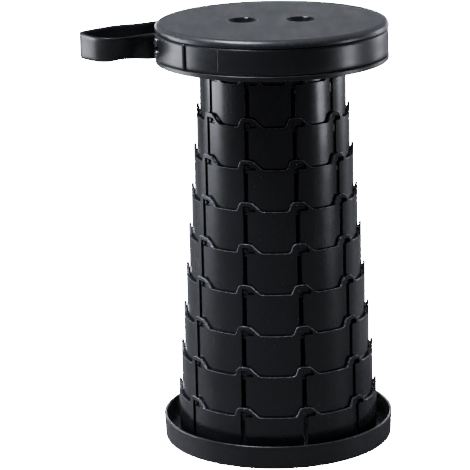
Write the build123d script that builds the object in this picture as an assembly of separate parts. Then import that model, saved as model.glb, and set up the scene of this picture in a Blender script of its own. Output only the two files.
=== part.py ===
from build123d import *
import os
from math import cos, hypot, radians, sin

# A telescopic camp stool: a lid-shaped seat on a column of nine nested rings that stand in a
# round tray. Every ring slides inside the next wider one: pegs at its foot run in upright slots in
# the wider ring's wall, and a small twist would lock them in the pocket at the top of each slot.
# Millimetres, +Z up, origin at the centre of the tray's underside, shown pulled out to full height.
# Angles are measured anticlockwise from +X, seen from above. The strap's loop lies towards -X.

os.makedirs("parts", exist_ok=True)

# ---------------------------------------------------------------- driving dimensions
RAISED_HEIGHT = 450.0           # floor to the top of the seat
SEAT_RADIUS = 121.6
SEAT_SIDE = 41.0                # height of the lid's side
TRAY_HEIGHT = 25.0

# the nine rings
RING_COUNT = 9
FOLDED_GAP = 10.8               # lowest ring to the inside of the lid's side, when folded
RING_STEP = 3.69                # each ring is this much smaller in radius than the one below
RING_WALL = 2.4
RING_OVERLAP = 4.35             # how far a raised ring stays below the flat edge of the next one
SLIDE_CLEARANCE = 0.3           # between a ring's foot bead and the wall it slides along
STACK_CLEARANCE = 0.1           # between a ring and what is under it
BEAD_HEIGHT = 2.5
SEAT_GAP = 3.7                  # from the top ring's arches to the underside of the lid's side

# the arches on a ring's top edge, as seen from outside with the slot's middle at zero
PANEL_COUNT = 10
FIRST_SLOT_ANGLE = -74.3
ARCH_HEIGHT = 9.5
ARCH_FOOT_LEFT = -9.2
ARCH_CREST_LEFT = -5.6
ARCH_CREST_RIGHT = 6.2
ARCH_FOOT_RIGHT = 17.0
ARCH_REACH = 8.0                # flat length outside each foot that blends into the edge
ARCH_ROUNDINGS = [3.5, 5.0, 7.0, 9.0]
TOP_EDGE_ROUNDING = 0.4         # along the outside of a ring's top edge

# the upright slots, their locking pockets, and the pegs that run in them
SLOT_WIDTH = 5.0
SLOT_HEAD = 4.0                 # closed length over the slot, inside the arch
PEG_RADIUS = 1.8
PEG_HEIGHT = 6.35               # peg's middle above the foot of its ring
PEG_ENTRY = 0.9                 # how far a peg's tip enters the wider ring's wall
PEG_CLEARANCE = 0.3             # peg to slot ends, and tip to the bottom of the blind groove
PEG_ROOT = 0.5                  # how far a peg is sunk into its own wall
POCKET_REACH = 10.8             # far end of the locking pocket, from the slot's middle
POCKET_SHOULDER = 7.9           # where its roof starts to follow the arch down
POCKET_ROOF_DROP = 2.6
POCKET_SILL = 0.3               # below the ring's flat edge

# the seat lid
PLATE_THICKNESS = 3.5
SKIRT_WALL = 2.6
LIP_ROUNDING = 6.0
LIP_DEPTH = 7.9                 # from the seat's top to the strap's recess
RECESS_DEPTH = 2.2
SKIRT_EDGE_ROUNDING = 0.7
HOLE_OFFSET = 30.2              # finger holes, either side of the middle
HOLE_MOUTH_RADIUS = 15.0
HOLE_THROAT_RADIUS = 9.5
HOLE_FUNNEL_DEPTH = 9.0
HOLE_TUBE_DEPTH = 16.0
HOLE_WALL = 2.0
HOLE_EDGE_ROUNDING = 1.0
RIB_COUNT = 20
RIB_WIDTH = 2.0
RIB_DEPTH = 1.4

# the collar under the seat, the innermost sliding tube
COLLAR_TAB_LENGTH = 12.0
COLLAR_TAB_THICKNESS = 3.0
COLLAR_TAB_WIDTH = 16.0
BOSS_HEIGHT = 7.5
BOSS_RADIUS = 4.0

# screws
SCREW_COUNT = 5
SCREW_RADIUS = 1.5
SCREW_HEAD_RADIUS = 2.9
SCREW_HEAD_HEIGHT = 1.9
SCREW_CLEARANCE = 0.1
SCREW_DRIVE_RADIUS = 1.1
SCREW_DRIVE_DEPTH = 1.0
COLLAR_SCREW_LENGTH = 8.5
BASE_SCREW_LENGTH = 10.0

# the tray
TRAY_OVERHANG = 1.1             # rim beyond the lid's side
TRAY_FLOOR = 3.0
TRAY_WALL = 2.5
TRAY_DRAFT = 1.2                # radius lost from the rim to the floor
TRAY_FOOT_ROUNDING = 1.6
TRAY_RIM_ROUNDING = 0.9
POCKET_COUNT = 10
UNDERSIDE_POCKET_DEPTH = 1.0
UNDERSIDE_POCKET_INNER = 32.0
UNDERSIDE_POCKET_OUTER = 100.0
UNDERSIDE_RIB_HALF_ANGLE = 2.2
BASE_BOSS_RADIUS = 3.6
BASE_BOSS_HEIGHT = 10.0
BASE_FLANGE_WIDTH = 6.0
BASE_FLANGE_THICKNESS = 2.5

# the carrying strap: one strip round the lid, out into a loop and back over its own start
STRAP_WIDTH = 27.0
STRAP_THICKNESS = 1.5
STRAP_SEAT_CLEARANCE = 0.3
STRAP_EDGE_CLEARANCE = 0.6      # above and below it in its recess
STRAP_LAP_GAP = 0.1
STRAP_START_ANGLE = -172.0
STRAP_LEAVE_ANGLE = 130.0       # where the strip leaves the lid
STRAP_LEAVE_LENGTH = 64.0
STRAP_LOOP_POINTS = [(45.3, 38.0), (84.3, -1.0), (58.3, -44.0), (21.3, -18.0)]     # out from lid, and Y
STRAP_LOOP_ROUNDINGS = [60.0, 40.0, 7.0, 13.0, 20.0, 4.0]
STRAP_LAP_START = -168.0
STRAP_LAP_END = -136.0
STRAP_LAP_LEAD = 7.0

# the two rivets through the strap's lap
RIVET_ANGLE = -164.5
RIVET_SPACING = 12.8
RIVET_HEAD_RADIUS = 4.7
RIVET_HEAD_HEIGHT = 2.0
RIVET_SHANK_RADIUS = 2.0
RIVET_TAIL_RADIUS = 3.0
RIVET_TAIL_HEIGHT = 0.8
RIVET_CLEARANCE = 0.1
WASHER_RADIUS = 4.5
WASHER_THICKNESS = 1.0

# ---------------------------------------------------------------- derived places
TRAY_RADIUS = SEAT_RADIUS + TRAY_OVERHANG
RECESS_RADIUS = SEAT_RADIUS - RECESS_DEPTH
SKIRT_INSIDE = RECESS_RADIUS - SKIRT_WALL
WIDEST_RING_RADIUS = SKIRT_INSIDE - FOLDED_GAP
RING_FLOOR = TRAY_FLOOR + STACK_CLEARANCE
SEAT_BOTTOM = RAISED_HEIGHT - SEAT_SIDE
PLATE_UNDERSIDE = RAISED_HEIGHT - PLATE_THICKNESS
RING_PITCH = (SEAT_BOTTOM - SEAT_GAP - ARCH_HEIGHT - RING_OVERLAP - RING_FLOOR) / RING_COUNT
RING_BODY = RING_PITCH + RING_OVERLAP
RING_GAP = RING_STEP - RING_WALL
BEAD_DEPTH = RING_GAP - SLIDE_CLEARANCE
PEG_LENGTH = RING_GAP + PEG_ENTRY
BLIND_DEPTH = PEG_ENTRY + PEG_CLEARANCE
SLOT_FOOT = PEG_HEIGHT + STACK_CLEARANCE - PEG_RADIUS - PEG_CLEARANCE
BLIND_TOP = PEG_HEIGHT + PEG_RADIUS + PEG_CLEARANCE
SLOT_ANGLES = [FIRST_SLOT_ANGLE + 360.0 / PANEL_COUNT * i for i in range(PANEL_COUNT)]
COLLAR_RADIUS = WIDEST_RING_RADIUS - RING_COUNT * RING_STEP
COLLAR_BOTTOM = RING_FLOOR + RING_COUNT * RING_PITCH
RECESS_TOP = RAISED_HEIGHT - LIP_DEPTH
RECESS_BOTTOM = RECESS_TOP - STRAP_WIDTH - 2 * STRAP_EDGE_CLEARANCE
STRAP_MIDDLE = (RECESS_BOTTOM + RECESS_TOP) / 2
STRAP_BOTTOM = STRAP_MIDDLE - STRAP_WIDTH / 2
STRAP_RADIUS = RECESS_RADIUS + STRAP_SEAT_CLEARANCE
LAP_RADIUS = STRAP_RADIUS + STRAP_THICKNESS + STRAP_LAP_GAP
RIVET_SEAT = LAP_RADIUS + STRAP_THICKNESS
COLLAR_INSIDE = COLLAR_RADIUS - RING_WALL
COLLAR_SCREW_CIRCLE = COLLAR_INSIDE - COLLAR_TAB_LENGTH / 2
COLLAR_TAB_TOP = PLATE_UNDERSIDE - BOSS_HEIGHT
BASE_SCREW_CIRCLE = WIDEST_RING_RADIUS + BASE_BOSS_RADIUS - PEG_ROOT
SCREW_ANGLES = [FIRST_SLOT_ANGLE + 360.0 / PANEL_COUNT * (2 * i + 0.55) for i in range(SCREW_COUNT)]

UPWARD = (Align.CENTER, Align.CENTER, Align.MIN)
OUTWARD = Plane(origin=(0, 0, 0), x_dir=(0, 1, 0), z_dir=(1, 0, 0))     # drawn as seen from outside


# ---------------------------------------------------------------- small helpers
def disc(radius, bottom, top):
    """A solid cylinder about the stool's axis."""
    return Pos(0, 0, bottom) * Cylinder(radius, top - bottom, align=UPWARD)


def tube(inner, outer, bottom, top):
    """A round wall about the stool's axis."""
    return disc(outer, bottom, top) - disc(inner, bottom, top)


def slab(first, last, inner, outer, bottom, top):
    """A block on the +X side, from first to last across it and from inner to outer along X."""
    return Pos((inner + outer) / 2, (first + last) / 2, bottom) * Box(
        outer - inner, last - first, top - bottom, align=UPWARD
    )


def wall_piece(first, last, inner, outer, bottom, top):
    """The part of a round wall that lies inside such a block."""
    return slab(first, last, inner - 5, outer + 5, bottom, top) & tube(inner, outer, bottom, top)


def post(radius, height, out, bottom):
    """A solid upright cylinder standing out along +X from the stool's axis."""
    return Pos(out, 0, bottom) * Cylinder(radius, height, align=UPWARD)


def turned(shape, angles):
    """Copies of a shape turned about the stool's axis."""
    return [Rot(0, 0, angle) * shape for angle in angles]


def radial_pin(radius, inner, outer, across, height):
    """A round pin that points outward from the axis on the +X side."""
    return Pos(inner, across, height) * (Rot(0, 90, 0) * Cylinder(radius, outer - inner, align=UPWARD))


def on_circle(radius, angle):
    """The X and Y of a point at that radius and angle."""
    return radius * cos(radians(angle)), radius * sin(radians(angle))


def distance_from_axis(point):
    """How far a point is from the stool's axis."""
    return hypot(point.X, point.Y)


def write(shape, node):
    """One STEP file for each node."""
    shape.label = node
    export_step(shape, f"parts/{node}.step")


# ---------------------------------------------------------------- rings and collar
def arch_tooth(inner, outer, flat):
    """One arch on the +X side, a slice of the ring's own wall."""
    top = FilletPolyline(
        (ARCH_FOOT_LEFT - ARCH_REACH, flat),
        (ARCH_FOOT_LEFT, flat),
        (ARCH_CREST_LEFT, flat + ARCH_HEIGHT),
        (ARCH_CREST_RIGHT, flat + ARCH_HEIGHT),
        (ARCH_FOOT_RIGHT, flat),
        (ARCH_FOOT_RIGHT + ARCH_REACH, flat),
        radius=ARCH_ROUNDINGS,
    )
    skirt = Polyline(
        (ARCH_FOOT_RIGHT + ARCH_REACH, flat),
        (ARCH_FOOT_RIGHT + ARCH_REACH, flat - BEAD_HEIGHT),
        (ARCH_FOOT_LEFT - ARCH_REACH, flat - BEAD_HEIGHT),
        (ARCH_FOOT_LEFT - ARCH_REACH, flat),
    )
    prism = extrude(OUTWARD * make_face(top + skirt), amount=outer + 5)
    return prism & tube(inner, outer, flat - BEAD_HEIGHT, flat + ARCH_HEIGHT + 1)


def slot_and_pocket(inner, outer, bottom, flat):
    """What is cut from a ring's wall for the pegs of the narrower ring, on the +X side.

    The slot goes through the wall, but its foot is a blind groove on the inside, because the
    ring's own peg stands on the outside there."""
    half = SLOT_WIDTH / 2
    top = flat + ARCH_HEIGHT - SLOT_HEAD
    slot = wall_piece(-half, half, inner - 1, outer + 1, bottom + BLIND_TOP, top)
    foot = bottom + SLOT_FOOT
    groove = wall_piece(-half, half, inner - 1, inner + BLIND_DEPTH, foot, bottom + BLIND_TOP + 1)
    corners = [
        (0, top),
        (POCKET_SHOULDER, top),
        (POCKET_REACH, top - POCKET_ROOF_DROP),
        (POCKET_REACH, flat - POCKET_SILL),
        (0, flat - POCKET_SILL),
    ]
    prism = extrude(OUTWARD * make_face(Polyline(*corners, close=True)), amount=outer + 5)
    pocket = prism & tube(inner - 1, outer + 1, flat - POCKET_SILL - 1, top + 1)
    return slot + groove + pocket


def peg(outer, bottom):
    """The peg at a ring's foot, on the +X side."""
    return radial_pin(PEG_RADIUS, outer - PEG_ROOT, outer + PEG_LENGTH, 0, bottom + PEG_HEIGHT)


def ring(number):
    """Ring 1 is the narrowest, under the seat; the last one stands on the tray."""
    below = RING_COUNT - number
    outer = WIDEST_RING_RADIUS - below * RING_STEP
    inner = outer - RING_WALL
    bottom = RING_FLOOR + below * RING_PITCH
    flat = bottom + RING_BODY
    wall = tube(inner, outer, bottom, flat)
    wall = wall + turned(arch_tooth(inner, outer, flat), SLOT_ANGLES)
    rim = [edge for edge in wall.edges() if edge.center().Z > flat - 0.01]
    rim = [edge for edge in rim if distance_from_axis(edge @ 0.5) > outer - 0.01]
    wall = fillet(rim, TOP_EDGE_ROUNDING)
    wall = wall - turned(slot_and_pocket(inner, outer, bottom, flat), SLOT_ANGLES)
    if number < RING_COUNT:
        wall = wall + tube(outer - PEG_ROOT, outer + BEAD_DEPTH, bottom, bottom + BEAD_HEIGHT)
        wall = wall + turned(peg(outer, bottom), SLOT_ANGLES)
    return wall


def base_ring():
    """The lowest ring, with a foot flange and screw bosses outside it."""
    outer = WIDEST_RING_RADIUS
    flange_top = TRAY_FLOOR + BASE_FLANGE_THICKNESS
    body = ring(RING_COUNT)
    body = body + tube(outer - PEG_ROOT, outer + BASE_FLANGE_WIDTH, TRAY_FLOOR, flange_top)
    boss = post(BASE_BOSS_RADIUS, BASE_BOSS_HEIGHT, BASE_SCREW_CIRCLE, TRAY_FLOOR)
    inside = disc(outer - RING_WALL, TRAY_FLOOR - 1, TRAY_FLOOR + BASE_BOSS_HEIGHT + 1)
    bore = post(SCREW_RADIUS + SCREW_CLEARANCE, BASE_SCREW_LENGTH, BASE_SCREW_CIRCLE, TRAY_FLOOR - 1)
    body = body + [piece - inside for piece in turned(boss, SCREW_ANGLES)]
    return body - turned(bore, SCREW_ANGLES)


def seat_collar():
    """The innermost tube, screwed up against the seat by five tabs, with pegs at its foot."""
    wall = tube(COLLAR_INSIDE, COLLAR_RADIUS, COLLAR_BOTTOM, PLATE_UNDERSIDE)
    bead_top = COLLAR_BOTTOM + BEAD_HEIGHT
    bead = tube(COLLAR_RADIUS - PEG_ROOT, COLLAR_RADIUS + BEAD_DEPTH, COLLAR_BOTTOM, bead_top)
    half = COLLAR_TAB_WIDTH / 2
    tab_inside = COLLAR_INSIDE - COLLAR_TAB_LENGTH
    tab_bottom = COLLAR_TAB_TOP - COLLAR_TAB_THICKNESS
    tab = wall_piece(-half, half, tab_inside, COLLAR_INSIDE + PEG_ROOT, tab_bottom, COLLAR_TAB_TOP)
    bore_length = COLLAR_TAB_THICKNESS + 2
    bore = post(SCREW_RADIUS + SCREW_CLEARANCE, bore_length, COLLAR_SCREW_CIRCLE, tab_bottom - 1)
    pegs = turned(peg(COLLAR_RADIUS, COLLAR_BOTTOM), SLOT_ANGLES)
    body = wall + bead + turned(tab, SCREW_ANGLES) + pegs
    return body - turned(bore, SCREW_ANGLES)


# ---------------------------------------------------------------- seat lid
def finger_hole(side):
    """The funnel that a finger goes down, as a solid to cut away."""
    funnel = Pos(side, 0, RAISED_HEIGHT - HOLE_FUNNEL_DEPTH) * Cone(
        HOLE_THROAT_RADIUS, HOLE_MOUTH_RADIUS, HOLE_FUNNEL_DEPTH, align=UPWARD
    )
    throat = post(HOLE_THROAT_RADIUS, HOLE_TUBE_DEPTH, side, RAISED_HEIGHT - HOLE_TUBE_DEPTH - 1)
    return funnel + throat


def finger_hole_boss(side):
    """The same funnel with its wall, under the plate."""
    funnel = Pos(side, 0, RAISED_HEIGHT - HOLE_FUNNEL_DEPTH) * Cone(
        HOLE_THROAT_RADIUS + HOLE_WALL, HOLE_MOUTH_RADIUS + HOLE_WALL, HOLE_FUNNEL_DEPTH, align=UPWARD
    )
    foot = RAISED_HEIGHT - HOLE_TUBE_DEPTH
    throat = post(HOLE_THROAT_RADIUS + HOLE_WALL, HOLE_TUBE_DEPTH - 1, side, foot)
    return funnel + throat


def seat_lid():
    """The seat: a shallow round lid with a strap recess round its side."""
    shell = disc(SEAT_RADIUS, SEAT_BOTTOM, RAISED_HEIGHT)
    shell = fillet(shell.edges().group_by(Axis.Z)[-1], LIP_ROUNDING)
    shell = shell - tube(RECESS_RADIUS, SEAT_RADIUS + 1, RECESS_BOTTOM, RECESS_TOP)
    rims = [edge for edge in shell.edges().filter_by(GeomType.CIRCLE) if edge.radius > RECESS_RADIUS + 1]
    rims = [edge for edge in rims if edge.center().Z < RECESS_TOP + 1]
    shell = fillet(rims, SKIRT_EDGE_ROUNDING)
    shell = shell - disc(SKIRT_INSIDE, SEAT_BOTTOM, PLATE_UNDERSIDE)

    rib = slab(
        -RIB_WIDTH / 2, RIB_WIDTH / 2, COLLAR_RADIUS + RING_STEP, SKIRT_INSIDE + SKIRT_WALL / 2,
        PLATE_UNDERSIDE - RIB_DEPTH, PLATE_UNDERSIDE + 1,
    )
    shell = shell + turned(rib, [360.0 / RIB_COUNT * (i + 0.5) for i in range(RIB_COUNT)])
    boss = post(BOSS_RADIUS, BOSS_HEIGHT + 1, COLLAR_SCREW_CIRCLE, COLLAR_TAB_TOP)
    bore = post(SCREW_RADIUS + SCREW_CLEARANCE, BOSS_HEIGHT, COLLAR_SCREW_CIRCLE, COLLAR_TAB_TOP - 1)
    shell = shell + turned(boss, SCREW_ANGLES)
    shell = shell + [finger_hole_boss(side) for side in (-HOLE_OFFSET, HOLE_OFFSET)]
    shell = shell - turned(bore, SCREW_ANGLES)
    shell = shell - [finger_hole(side) for side in (-HOLE_OFFSET, HOLE_OFFSET)]
    rounds = shell.edges().filter_by(GeomType.CIRCLE)
    mouths = [edge for edge in rounds if edge.center().Z > RAISED_HEIGHT - 0.1]
    mouths = [edge for edge in mouths if edge.radius < HOLE_MOUTH_RADIUS + 1]
    shell = fillet(mouths, HOLE_EDGE_ROUNDING)
    return shell - [rivet_hole(height) for height in rivet_heights()]


# ---------------------------------------------------------------- tray
def base_tray():
    """The round tray that the column stands in."""
    foot = TRAY_RADIUS - TRAY_DRAFT
    outside = Cone(foot, TRAY_RADIUS, TRAY_HEIGHT, align=UPWARD)
    outside = fillet(outside.edges().group_by(Axis.Z)[0], TRAY_FOOT_ROUNDING)
    inside = Pos(0, 0, TRAY_FLOOR) * Cone(
        foot - TRAY_WALL + TRAY_DRAFT * TRAY_FLOOR / TRAY_HEIGHT, TRAY_RADIUS - TRAY_WALL,
        TRAY_HEIGHT - TRAY_FLOOR, align=UPWARD,
    )
    tray = outside - inside
    tray = fillet(tray.edges().group_by(Axis.Z)[-1], TRAY_RIM_ROUNDING)
    half_angle = 180.0 / POCKET_COUNT - UNDERSIDE_RIB_HALF_ANGLE
    sector = Cylinder(
        UNDERSIDE_POCKET_OUTER, UNDERSIDE_POCKET_DEPTH, arc_size=2 * half_angle, align=UPWARD
    ) - disc(UNDERSIDE_POCKET_INNER, 0, UNDERSIDE_POCKET_DEPTH)
    tray = tray - turned(sector, [360.0 / POCKET_COUNT * i for i in range(POCKET_COUNT)])
    bore = post(SCREW_RADIUS + SCREW_CLEARANCE, TRAY_FLOOR + 2, BASE_SCREW_CIRCLE, -1)
    sink_depth = SCREW_HEAD_HEIGHT + SCREW_CLEARANCE
    sink = post(SCREW_HEAD_RADIUS + SCREW_CLEARANCE, sink_depth, BASE_SCREW_CIRCLE, 0)
    return tray - turned(bore + sink, SCREW_ANGLES)


# ---------------------------------------------------------------- fasteners
def screw(length):
    """A pan screw pointing up, with its head's underside at the origin's height."""
    head = Pos(0, 0, -SCREW_HEAD_HEIGHT) * Cylinder(SCREW_HEAD_RADIUS, SCREW_HEAD_HEIGHT, align=UPWARD)
    head = fillet(head.edges().group_by(Axis.Z)[0], SCREW_HEAD_HEIGHT / 3)
    shank = Cylinder(SCREW_RADIUS, length, align=UPWARD)
    drive = Pos(0, 0, -SCREW_HEAD_HEIGHT) * extrude(
        RegularPolygon(SCREW_DRIVE_RADIUS, 6), amount=SCREW_DRIVE_DEPTH
    )
    return head + shank - drive


def screw_set(length, circle, height):
    """The five screws of one joint."""
    return Compound(children=turned(Pos(circle, 0, height) * screw(length), SCREW_ANGLES))


def rivet_heights():
    """The two rivets stand one above the other in the middle of the strap."""
    return [STRAP_MIDDLE - RIVET_SPACING / 2, STRAP_MIDDLE + RIVET_SPACING / 2]


def rivet_hole(height):
    """The hole for a rivet through the strap's two layers and the lid's side."""
    pin = radial_pin(RIVET_SHANK_RADIUS + RIVET_CLEARANCE, SKIRT_INSIDE - 5, RIVET_SEAT + 5, 0, height)
    return Rot(0, 0, RIVET_ANGLE) * pin


def rivet(height):
    """A dome-headed rivet, closed over a washer inside the lid."""
    tail_face = SKIRT_INSIDE - RIVET_CLEARANCE * 3 - WASHER_THICKNESS
    head = radial_pin(RIVET_HEAD_RADIUS, RIVET_SEAT, RIVET_SEAT + RIVET_HEAD_HEIGHT, 0, height)
    head = fillet(head.edges().group_by(Axis.X)[-1], RIVET_HEAD_HEIGHT * 0.8)
    shank = radial_pin(RIVET_SHANK_RADIUS, tail_face - RIVET_TAIL_HEIGHT, RIVET_SEAT + 1, 0, height)
    tail = radial_pin(RIVET_TAIL_RADIUS, tail_face - RIVET_TAIL_HEIGHT, tail_face, 0, height)
    return Rot(0, 0, RIVET_ANGLE) * (head + shank + tail)


def washer(height):
    """The washer between the lid's side and the rivet's tail."""
    outer_face = SKIRT_INSIDE - RIVET_CLEARANCE * 2
    body = radial_pin(WASHER_RADIUS, outer_face - WASHER_THICKNESS, outer_face, 0, height)
    bore = radial_pin(RIVET_SHANK_RADIUS + RIVET_CLEARANCE, outer_face - 5, outer_face + 5, 0, height)
    return Rot(0, 0, RIVET_ANGLE) * (body - bore)


# ---------------------------------------------------------------- strap
def strap_arc(radius, first, last):
    """The outline of a stretch of strap that lies round the lid, from its inner face."""
    inner = CenterArc((0, 0), radius, first, last - first)
    outer = CenterArc((0, 0), radius + STRAP_THICKNESS, first, last - first)
    return make_face(inner + outer + Line(inner @ 0, outer @ 0) + Line(inner @ 1, outer @ 1))


def strap_loop():
    """The outline of the loop, from its inner face, between the two stretches on the lid."""
    leave = on_circle(STRAP_RADIUS, STRAP_LEAVE_ANGLE)
    away = on_circle(STRAP_LEAVE_LENGTH, STRAP_LEAVE_ANGLE + 90)
    lap_start = on_circle(LAP_RADIUS, STRAP_LAP_START)
    lead = on_circle(STRAP_LAP_LEAD, STRAP_LAP_START - 90)
    path = FilletPolyline(
        leave,
        (leave[0] + away[0], leave[1] + away[1]),
        *[(-STRAP_RADIUS - out, across) for out, across in STRAP_LOOP_POINTS],
        (lap_start[0] + lead[0], lap_start[1] + lead[1]),
        lap_start,
        radius=STRAP_LOOP_ROUNDINGS,
    )
    outline = Wire(path.edges()).offset_2d(STRAP_THICKNESS, kind=Kind.ARC, side=Side.RIGHT)
    return make_face(outline.edges())


def carry_strap():
    """One strip: round the lid, out into the loop, and back over its own start."""
    belt = strap_arc(STRAP_RADIUS, STRAP_START_ANGLE, STRAP_LEAVE_ANGLE)
    lap = strap_arc(LAP_RADIUS, STRAP_LAP_START, STRAP_LAP_END)
    strip = [extrude(face, amount=STRAP_WIDTH, dir=(0, 0, 1)) for face in (belt, strap_loop(), lap)]
    strip = Pos(0, 0, STRAP_BOTTOM) * (strip[0] + strip[1:])
    return strip - [rivet_hole(height) for height in rivet_heights()]


# ---------------------------------------------------------------- the nodes
write(base_tray(), "base_tray")
write(screw_set(BASE_SCREW_LENGTH, BASE_SCREW_CIRCLE, SCREW_HEAD_HEIGHT), "base_screws")
for number in range(1, RING_COUNT):
    write(ring(number), f"ring_{number}")
write(base_ring(), f"ring_{RING_COUNT}")
write(seat_lid(), "seat_lid")
write(seat_collar(), "seat_collar")
write(
    screw_set(COLLAR_SCREW_LENGTH, COLLAR_SCREW_CIRCLE, COLLAR_TAB_TOP - COLLAR_TAB_THICKNESS),
    "collar_screws",
)
write(carry_strap(), "carry_strap")
write(Compound(children=[rivet(height) for height in rivet_heights()]), "strap_rivets")
write(Compound(children=[washer(height) for height in rivet_heights()]), "rivet_washers")
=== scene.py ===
import math
import bpy
import bmesh
from mathutils import Matrix, Vector


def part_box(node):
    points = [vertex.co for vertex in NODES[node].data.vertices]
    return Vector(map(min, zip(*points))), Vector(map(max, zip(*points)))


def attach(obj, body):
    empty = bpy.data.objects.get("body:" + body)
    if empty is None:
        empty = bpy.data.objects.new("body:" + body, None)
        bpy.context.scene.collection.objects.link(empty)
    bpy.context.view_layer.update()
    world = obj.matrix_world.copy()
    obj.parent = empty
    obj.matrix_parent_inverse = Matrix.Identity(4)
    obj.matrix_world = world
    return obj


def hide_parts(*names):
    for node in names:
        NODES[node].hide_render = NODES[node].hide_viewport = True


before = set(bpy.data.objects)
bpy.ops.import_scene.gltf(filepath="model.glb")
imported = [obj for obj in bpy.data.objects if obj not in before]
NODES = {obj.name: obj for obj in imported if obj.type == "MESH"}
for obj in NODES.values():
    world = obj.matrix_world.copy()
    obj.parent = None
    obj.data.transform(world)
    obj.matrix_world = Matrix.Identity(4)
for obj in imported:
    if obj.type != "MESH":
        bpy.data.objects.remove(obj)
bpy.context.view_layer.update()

# ---------------------------------------------------------------- places read from the frame, in metres
MM = 0.001
RINGS = [name for name in NODES if name.startswith("ring_")]
STRAP_LOW, STRAP_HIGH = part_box("carry_strap")
STRAP_WIDTH = STRAP_HIGH.z - STRAP_LOW.z

# the strap's plan, the same sizes as the CAD part; angles from +X, seen from above
STRAP_THICKNESS = 1.5 * MM
STRAP_RADIUS = STRAP_HIGH.x - STRAP_THICKNESS      # its inner face on the lid
LAP_GAP = 0.15 * MM
LAP_RADIUS = STRAP_RADIUS + STRAP_THICKNESS + LAP_GAP
STRAP_START = -172.0
STRAP_LEAVE = 130.0
LAP_START = -171.0
LAP_END = -136.0

# ---------------------------------------------------------------- camera
CAMERA_DISTANCE = 2.6579
CAMERA_RISE = 0.2623            # radians above the horizon
CAMERA_AIM = Vector((0, 0, 0.225))
CAMERA_YAW = 0.016
CAMERA_PITCH = -0.002
CAMERA_ROLL = -0.017
CAMERA_LENS = 192.3
CAMERA_SENSOR = 36.0
CAMERA_REACH = 20.0


def make_camera():
    """A long lens at the photograph's angle."""
    data = bpy.data.cameras.new("camera")
    data.lens = CAMERA_LENS
    data.sensor_width = CAMERA_SENSOR
    data.clip_end = CAMERA_REACH
    camera = bpy.data.objects.new("camera", data)
    bpy.context.scene.collection.objects.link(camera)
    back = Vector((0, -math.cos(CAMERA_RISE), math.sin(CAMERA_RISE)))
    camera.matrix_world = (
        Matrix.Translation(CAMERA_AIM + CAMERA_DISTANCE * back)
        @ Matrix.Rotation(math.pi / 2 - CAMERA_RISE, 4, "X")
        @ Matrix.Rotation(CAMERA_YAW, 4, "Y")
        @ Matrix.Rotation(CAMERA_PITCH, 4, "X")
        @ Matrix.Rotation(CAMERA_ROLL, 4, "Z")
    )
    bpy.context.scene.camera = camera


# ---------------------------------------------------------------- shader nodes
def add(tree, kind, inputs=None, **settings):
    """A shader node; each input is a plain value or another node's output."""
    node = tree.nodes.new("ShaderNode" + kind)
    for name, value in settings.items():
        setattr(node, name, value)
    for name, value in (inputs or {}).items():
        if isinstance(value, bpy.types.NodeSocket):
            tree.links.new(value, node.inputs[name])
        else:
            node.inputs[name].default_value = value
    return node


def ramp(tree, value, low, high, first, last, smooth=False):
    """value, from low to high, becomes first to last."""
    kind = "SMOOTHSTEP" if smooth else "LINEAR"
    limits = {"Value": value, "From Min": low, "From Max": high, "To Min": first, "To Max": last}
    return add(tree, "MapRange", limits, interpolation_type=kind).outputs[0]


def math_node(tree, operation, first, second):
    """One sum on two values."""
    return add(tree, "Math", {0: first, 1: second}, operation=operation).outputs[0]


def noise(tree, place, scale, detail):
    """Noise from 0 to 1."""
    return add(tree, "TexNoise", {"Vector": place, "Scale": scale, "Detail": detail}).outputs["Fac"]


def mixed(tree, amount, first, second):
    """A colour between two others."""
    inputs = {"Factor": amount, "A": first, "B": second}
    return add(tree, "Mix", inputs, data_type="RGBA").outputs["Result"]


# ---------------------------------------------------------------- light and floor
BACKDROP = 60.0                 # how bright the backdrop looks to the camera
ROOM_BACK = 0.40                # the room's brightness in each direction
ROOM_FRONT = 0.03
ROOM_TOP = 0.24
ROOM_FRONT_ENDS = -0.6          # these four are directions along Y and Z, from -1 to 1
ROOM_BACK_STARTS = 0.5
ROOM_TOP_STARTS = 0.3
ROOM_TOP_FULL = 1.0
ROOM_TINT = (0.88, 0.905, 1.0)
FLOOR_SIZE = 6.0
FLOOR_DROP = 0.2 * MM
FLOOR_GLOW = 60.0
FLOOR_GREY = 0.15
FLOOR_ROUGHNESS = 0.6


def make_world():
    """A white studio: lighter behind, darker on the camera's side."""
    world = bpy.data.worlds.new("studio")
    bpy.context.scene.world = world
    world.use_nodes = True
    tree = world.node_tree
    tree.nodes.clear()
    place = add(tree, "TexCoord")
    axes = add(tree, "SeparateXYZ", {0: place.outputs["Generated"]})
    depth = ramp(
        tree, axes.outputs["Y"], ROOM_FRONT_ENDS, ROOM_BACK_STARTS, ROOM_FRONT, ROOM_BACK, smooth=True
    )
    rise = ramp(tree, axes.outputs["Z"], ROOM_TOP_STARTS, ROOM_TOP_FULL, 0.0, ROOM_TOP, smooth=True)
    total = math_node(tree, "MAXIMUM", depth, rise)
    room = add(tree, "Background", {"Color": [*ROOM_TINT, 1], "Strength": total})
    backdrop = add(tree, "Background", {"Strength": BACKDROP})
    seen = add(tree, "LightPath")
    inputs = {0: seen.outputs["Is Camera Ray"], 1: room.outputs[0], 2: backdrop.outputs[0]}
    choose = add(tree, "MixShader", inputs)
    add(tree, "OutputWorld", {"Surface": choose.outputs[0]})


def area_light(name, place, aim, width, height, watts):
    """A soft box of that size, facing a point."""
    data = bpy.data.lights.new(name, "AREA")
    data.shape = "RECTANGLE"
    data.size = width
    data.size_y = height
    data.energy = watts
    data.color = ROOM_TINT
    light = bpy.data.objects.new(name, data)
    bpy.context.scene.collection.objects.link(light)
    light.location = place
    toward = Vector(aim) - Vector(place)
    light.rotation_euler = toward.to_track_quat("-Z", "Y").to_euler()


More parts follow.
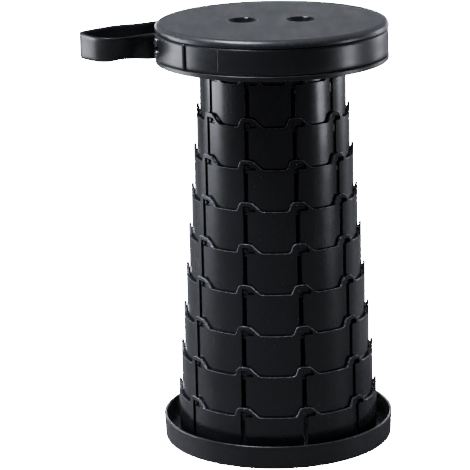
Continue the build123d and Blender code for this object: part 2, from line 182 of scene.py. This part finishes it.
STOOL_MIDDLE = (0, 0, 0.25)
STOOL_TOP = (0, 0, 0.4)
SOFTBOXES = {
    # place, what it faces, width, height, watts
    "softbox_left": ((-1.8, 0.40, 0.30), STOOL_MIDDLE, 1.1, 0.9, 40),
    "softbox_right": ((1.75, -0.35, 0.12), STOOL_MIDDLE, 0.35, 0.5, 9),
    "softbox_edge": ((1.6, 1.2, 0.4), STOOL_MIDDLE, 0.5, 1.0, 10),
    "softbox_back": ((0.0, 2.6, 0.30), STOOL_MIDDLE, 2.2, 0.4, 30),
    "softbox_high": ((-0.6, -0.35, 1.9), STOOL_TOP, 0.6, 0.4, 62),
}


def make_lights():
    """Soft boxes left, right, behind and above."""
    for name, (place, aim, width, height, watts) in SOFTBOXES.items():
        area_light(name, place, aim, width, height, watts)


def make_floor():
    """A plain pale floor, just under the tray."""
    mesh = bpy.data.meshes.new("floor")
    half = FLOOR_SIZE / 2
    corners = [(-half, -half), (half, -half), (half, half), (-half, half)]
    mesh.from_pydata([(x, y, -FLOOR_DROP) for x, y in corners], [], [(0, 1, 2, 3)])
    floor = bpy.data.objects.new("floor", mesh)
    bpy.context.scene.collection.objects.link(floor)
    material = bpy.data.materials.new("floor_white")
    material.use_nodes = True
    tree = material.node_tree
    shader = tree.nodes["Principled BSDF"]
    shader.inputs["Base Color"].default_value = (FLOOR_GREY, FLOOR_GREY, FLOOR_GREY, 1)
    shader.inputs["Roughness"].default_value = FLOOR_ROUGHNESS
    shader.inputs["Emission Color"].default_value = (1, 1, 1, 1)
    seen = add(tree, "LightPath")
    glow = math_node(tree, "MULTIPLY", seen.outputs["Is Camera Ray"], FLOOR_GLOW)
    tree.links.new(glow, shader.inputs["Emission Strength"])
    # clear from below, so that the underside can be looked at
    side = add(tree, "NewGeometry").outputs["Backfacing"]
    clear = add(tree, "BsdfTransparent").outputs[0]
    either = add(tree, "MixShader", {0: side, 1: shader.outputs[0], 2: clear})
    tree.links.new(either.outputs[0], tree.nodes["Material Output"].inputs["Surface"])
    mesh.materials.append(material)


# ---------------------------------------------------------------- materials
PLASTIC_IOR = 1.5
CLOUD_SCALE = 14.0              # slow changes of gloss and shade, per metre
CLOUD_DETAIL = 4.0
FLOW_DETAIL = 3.0
WAVE_SCALE = 34.0               # the slight waviness of a moulded wall
WAVE_DEPTH = 0.4 * MM
SCUFF_SCALE = 420.0
SCUFF_DETAIL = 5.0
SHADE_LOW = 0.65                # of a plastic's own colour
SHADE_HIGH = 1.4
SPECK_SCALE = 85.0              # pale specks of dust
SPECK_SIZE = (0.03, 0.05)
SPECK_STRENGTH = 0.35
GRAIN_STRENGTH = 0.5
FLOW_STRENGTH = 0.4
FLOW_DEPTH = 2.0                # times the grain's depth
# painted shade: the colour inside the seat's finger holes, darkened
HOLE_PAINTED_SHADE = (0.004, 0.004, 0.005)
HOLE_BLUR = 0.5 * MM
EDGE_RISE = (0.02, 0.2)         # where the abrasion and painted highlight of a rounded edge start and are full
SCUFF_SPREAD = (0.35, 0.7)
UNEVEN_SPREAD = (0.35, 0.65)
EDGE_POLISH = 0.14              # how much smoother a rounded edge is, from rubbing by hands


def plastic(name, colour, roughness, spread, grain, grain_size, streaks, worn_and_highlight_colour, wear_and_highlight, holes=()):
    """Black moulded plastic.

    spread is how uneven its gloss is, streaks scales the flow marks along X, Y and Z, worn is the
    paler colour of its rounded edges, abrasion and, on the rings, also a painted highlight, and wear
    how strong that is. holes are glossy spots in it, painted dark there as shade."""
    material = bpy.data.materials.new(name)
    material.use_nodes = True
    tree = material.node_tree
    shader = tree.nodes["Principled BSDF"]
    shader.inputs["IOR"].default_value = PLASTIC_IOR
    place = add(tree, "TexCoord")
    spot = place.outputs["Object"]

    cloud = noise(tree, spot, CLOUD_SCALE, CLOUD_DETAIL)
    flow_place = add(tree, "Mapping", {"Vector": spot, "Scale": streaks}).outputs[0]
    flow = noise(tree, flow_place, 1.0, FLOW_DETAIL)
    scuff = noise(tree, spot, SCUFF_SCALE, SCUFF_DETAIL)
    uneven = add(tree, "Mix", {"Factor": 0.5, "A": cloud, "B": flow}, data_type="FLOAT").outputs[0]
    gloss = ramp(tree, uneven, *UNEVEN_SPREAD, roughness - spread, roughness + spread)

    # rounded edges face neither straight up nor straight out; their paler colour is abrasion,
    # and on the rings also a painted highlight
    rise = add(tree, "SeparateXYZ", {0: place.outputs["Normal"]}).outputs["Z"]
    rise = math_node(tree, "ABSOLUTE", rise, 0.0)
    edge = math_node(tree, "MULTIPLY", rise, math_node(tree, "SUBTRACT", 1.0, rise))
    edge = ramp(tree, edge, *EDGE_RISE, 0.0, wear_and_highlight, smooth=True)
    rubbed_and_highlit = math_node(tree, "MULTIPLY", edge, ramp(tree, scuff, *SCUFF_SPREAD, 0.2, 1.0))
    gloss = math_node(tree, "SUBTRACT", gloss, math_node(tree, "MULTIPLY", edge, EDGE_POLISH))

    low = [c * SHADE_LOW for c in colour] + [1]
    high = [c * SHADE_HIGH for c in colour] + [1]
    shade = mixed(tree, cloud, low, high)
    # paler rounded edges: abrasion, and on the rings a painted highlight
    shade = mixed(tree, rubbed_and_highlit, shade, [*worn_and_highlight_colour, 1])
    speck = add(tree, "TexVoronoi", {"Vector": spot, "Scale": SPECK_SCALE}).outputs["Distance"]
    speck = ramp(tree, speck, *SPECK_SIZE, SPECK_STRENGTH, 0.0)
    shade = mixed(tree, speck, shade, [*worn_and_highlight_colour, 1])
    # inside each hole: its own gloss, and the colour painted dark as shade
    for across, reach, shine in holes:
        from_hole = add(tree, "VectorMath", {0: spot, 1: (across, 0, 0)}, operation="SUBTRACT").outputs[0]
        flat = add(tree, "VectorMath", {0: from_hole, 1: (1, 1, 0)}, operation="MULTIPLY").outputs[0]
        away = add(tree, "VectorMath", {0: flat}, operation="LENGTH").outputs["Value"]
        inside = ramp(tree, away, reach - HOLE_BLUR, reach + HOLE_BLUR, 1.0, 0.0)
        gloss = add(tree, "Mix", {"Factor": inside, "A": gloss, "B": shine}, data_type="FLOAT").outputs[0]
        shade = mixed(tree, inside, shade, [*HOLE_PAINTED_SHADE, 1])
    tree.links.new(gloss, shader.inputs["Roughness"])
    tree.links.new(shade, shader.inputs["Base Color"])

    fine = noise(tree, spot, 1.0 / grain_size, 2.0)
    wave = noise(tree, spot, WAVE_SCALE, 1.0)
    bump = add(tree, "Bump", {"Strength": GRAIN_STRENGTH, "Distance": grain, "Height": fine}).outputs[0]
    lines = {"Strength": FLOW_STRENGTH, "Distance": grain * FLOW_DEPTH, "Height": flow, "Normal": bump}
    bump = add(tree, "Bump", lines).outputs[0]
    warp = {"Strength": FLOW_STRENGTH, "Distance": WAVE_DEPTH, "Height": wave, "Normal": bump}
    bump = add(tree, "Bump", warp).outputs[0]
    tree.links.new(bump, shader.inputs["Normal"])
    return material


def metal(name, colour, roughness, metallic):
    """Plated or enamelled metal with fine uneven gloss."""
    even = (60.0, 60.0, 60.0)
    material = plastic(name, colour, roughness, 0.05, 0.01 * MM, 0.3 * MM, even, colour, 0.3)
    material.node_tree.nodes["Principled BSDF"].inputs["Metallic"].default_value = metallic
    return material


def finish_node(name, material):
    """A carried-over CAD node's material."""
    node = NODES[name]
    node.data.materials.clear()
    node.data.materials.append(material)


# ---------------------------------------------------------------- strap
# the loop's top edge in plan, in millimetres, and how many degrees it leans in at the bottom
LOOP_POINTS = [
    (-101.0, 71.0, 0.0), (-122.0, 52.0, 0.0), (-138.0, 41.0, 0.0), (-152.0, 35.0, 0.0),
    (-167.0, 28.0, 0.0), (-180.0, 17.0, 0.0), (-191.0, 6.0, 0.0), (-197.8, -2.5, 0.0),
    (-197.5, -9.5, 1.0), (-191.0, -21.5, 4.0), (-181.7, -35.3, 9.0), (-169.5, -43.2, 15.0),
    (-157.9, -43.7, 21.0), (-146.6, -38.7, 23.0), (-135.6, -29.5, 17.0), (-126.5, -23.0, 4.0),
]
STATIONS_PER_SPAN = 8
BELT_STEPS = 150
LAP_STEPS = 18
LAP_TAPER_START = 0.985
LAP_TAPER = 0.8 * MM            # off its outer face at the cut end
LAP_LIFT = 0.25 * MM             # how far the cut end springs away
SEAM_ANGLE = -117.0             # a fine upright line across the belt
SEAM_HALF = 0.18
SEAM_DEPTH = 0.35 * MM
SECTION_STEPS = 10
EDGE_SHARE = 0.07               # of the half width, rounded off at each edge
EDGE_THINNING = 0.75


def on_circle(radius, degrees):
    """A point at that radius and angle, with no lean."""
    angle = math.radians(degrees)
    return Vector((radius * math.cos(angle), radius * math.sin(angle), 0.0))


def smooth(points, steps):
    """A Catmull-Rom curve through the points, from the second to the last but one."""
    out = []
    for a, b, c, d in zip(points, points[1:], points[2:], points[3:]):
        for i in range(steps):
            t = i / steps
            bend = (2 * a - 5 * b + 4 * c - d) * t * t + (3 * b - a - 3 * c + d) * t * t * t
            out.append(0.5 * (2 * b + (c - a) * t + bend))
    out.append(points[-2])
    return out


def strap_line():
    """The strip's stations from its start to its cut end, each with the depth of a groove there."""
    belt_radius = STRAP_RADIUS + STRAP_THICKNESS / 2
    lap_radius = LAP_RADIUS + STRAP_THICKNESS / 2
    sweep = STRAP_LEAVE - STRAP_START
    angles = [STRAP_START + sweep * i / BELT_STEPS for i in range(BELT_STEPS)]
    angles = [angle for angle in angles if abs(angle - SEAM_ANGLE) > 2 * SEAM_HALF]
    angles = sorted(angles + [SEAM_ANGLE + SEAM_HALF * i for i in (-2, -1, 0, 1, 2)])
    belt = [on_circle(belt_radius, angle) for angle in angles]
    grooves = [SEAM_DEPTH if abs(angle - SEAM_ANGLE) < SEAM_HALF / 2 else 0.0 for angle in angles]
    turn = LAP_END - LAP_START
    shares = [i / LAP_STEPS for i in range(LAP_STEPS)] + [LAP_TAPER_START, 1.0]
    lap = [on_circle(lap_radius + LAP_LIFT * t * t, LAP_START + turn * t) for t in shares]
    loop = [Vector((x * MM, y * MM, math.radians(lean))) for x, y, lean in LOOP_POINTS]
    bridge = [belt[-1], on_circle(belt_radius, STRAP_LEAVE)] + loop + lap[:2]
    line = belt + smooth(bridge, STATIONS_PER_SPAN) + lap[1:]
    grooves = grooves + [0.0] * (len(line) - len(grooves))
    grooves[-1] = LAP_TAPER
    return line, grooves


def strip_row(mesh, line, i, groove):
    """The strip's section at one station, down its outer face and back up its inner one."""
    here = line[i]
    before = line[max(i - 1, 0)]
    after = line[min(i + 1, len(line) - 1)]
    along = Vector((after.x - before.x, after.y - before.y, 0)).normalized()
    out = Vector((along.y, -along.x, 0))
    up = Vector((0, 0, 1))
    down = -out * math.sin(here.z) - up * math.cos(here.z)
    face = out * math.cos(here.z) - up * math.sin(here.z)
    top = Vector((here.x, here.y, STRAP_HIGH.z))
    row = []
    for side in (1, -1):
        for j in range(SECTION_STEPS + 1):
            t = (-1 + 2 * j / SECTION_STEPS) * side
            rounding = max(0.0, abs(t) - 1 + EDGE_SHARE) / EDGE_SHARE
            thick = STRAP_THICKNESS / 2 * math.sqrt(1 - EDGE_THINNING * rounding * rounding)
            if side > 0:
                thick = thick - groove
            row.append(mesh.verts.new(top + down * (STRAP_WIDTH * (1 + t) / 2) + face * (thick * side)))
    return row


def strip_mesh(name):
    """The whole strap as one closed strip with rounded edges."""
    mesh = bmesh.new()
    line, grooves = strap_line()
    rows = [strip_row(mesh, line, i, grooves[i]) for i in range(len(line))]
    count = len(rows[0])
    for first, second in zip(rows, rows[1:]):
        for j in range(count):
            k = (j + 1) % count
            mesh.faces.new((first[j], second[j], second[k], first[k]))
    mesh.faces.new(rows[0])
    mesh.faces.new(list(reversed(rows[-1])))
    bmesh.ops.recalc_face_normals(mesh, faces=mesh.faces)
    data = bpy.data.meshes.new(name)
    mesh.to_mesh(data)
    mesh.free()
    piece = bpy.data.objects.new(name, data)
    bpy.context.scene.collection.objects.link(piece)
    for face in data.polygons:
        face.use_smooth = len(face.vertices) == 4
    return piece


def make_strap(material):
    """The carrying strap, in place of its plain CAD solid."""
    strap = strip_mesh("carry_strap_strip")
    strap.data.materials.append(material)
    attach(strap, "seat")
    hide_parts("carry_strap")


# ---------------------------------------------------------------- the scene
make_camera()
make_world()
make_lights()
make_floor()

UPRIGHT_FLOW = (90.0, 90.0, 4.0)
LEVEL_FLOW = (12.0, 12.0, 160.0)
SEAT_FLOW = (60.0, 9.0, 30.0)
HOLE_OFFSET = 30.2 * MM
HOLE_REACH = 16.2 * MM
HOLE_SHINE = 0.10
WORN_GREY = (0.075, 0.079, 0.086)
# the rings' paler rounded edges: abrasion, and a painted highlight along the arch and panel edges
RING_WEAR_AND_HIGHLIGHT = (0.22, 0.23, 0.26)
SEAT_HOLES = [(side * HOLE_OFFSET, HOLE_REACH, HOLE_SHINE) for side in (-1, 1)]

RING_PLASTIC = plastic(
    "ring_plastic", (0.0085, 0.0090, 0.0104), 0.22, 0.07, 0.02 * MM, 0.6 * MM, UPRIGHT_FLOW, RING_WEAR_AND_HIGHLIGHT, 1.0
)
SEAT_PLASTIC = plastic(
    "seat_plastic", (0.012, 0.0125, 0.0140), 0.36, 0.06, 0.03 * MM, 0.5 * MM, SEAT_FLOW, WORN_GREY, 0.35,
    SEAT_HOLES,
)
TRAY_PLASTIC = plastic(
    "tray_plastic", (0.011, 0.0115, 0.0130), 0.36, 0.06, 0.03 * MM, 0.5 * MM, UPRIGHT_FLOW, WORN_GREY, 0.4
)
STRAP_PLASTIC = plastic(
    "strap_plastic", (0.011, 0.0115, 0.0130), 0.34, 0.06, 0.015 * MM, 0.7 * MM, LEVEL_FLOW, WORN_GREY, 0.0
)
RIVET_ENAMEL = metal("rivet_enamel", (0.16, 0.165, 0.175), 0.20, 0.7)
SCREW_STEEL = metal("screw_steel", (0.5, 0.5, 0.51), 0.3, 1.0)

for ring_name in RINGS:
    finish_node(ring_name, RING_PLASTIC)
finish_node("seat_collar", RING_PLASTIC)
finish_node("seat_lid", SEAT_PLASTIC)
finish_node("base_tray", TRAY_PLASTIC)
finish_node("strap_rivets", RIVET_ENAMEL)
finish_node("rivet_washers", SCREW_STEEL)
finish_node("collar_screws", SCREW_STEEL)
finish_node("base_screws", SCREW_STEEL)
make_strap(STRAP_PLASTIC)
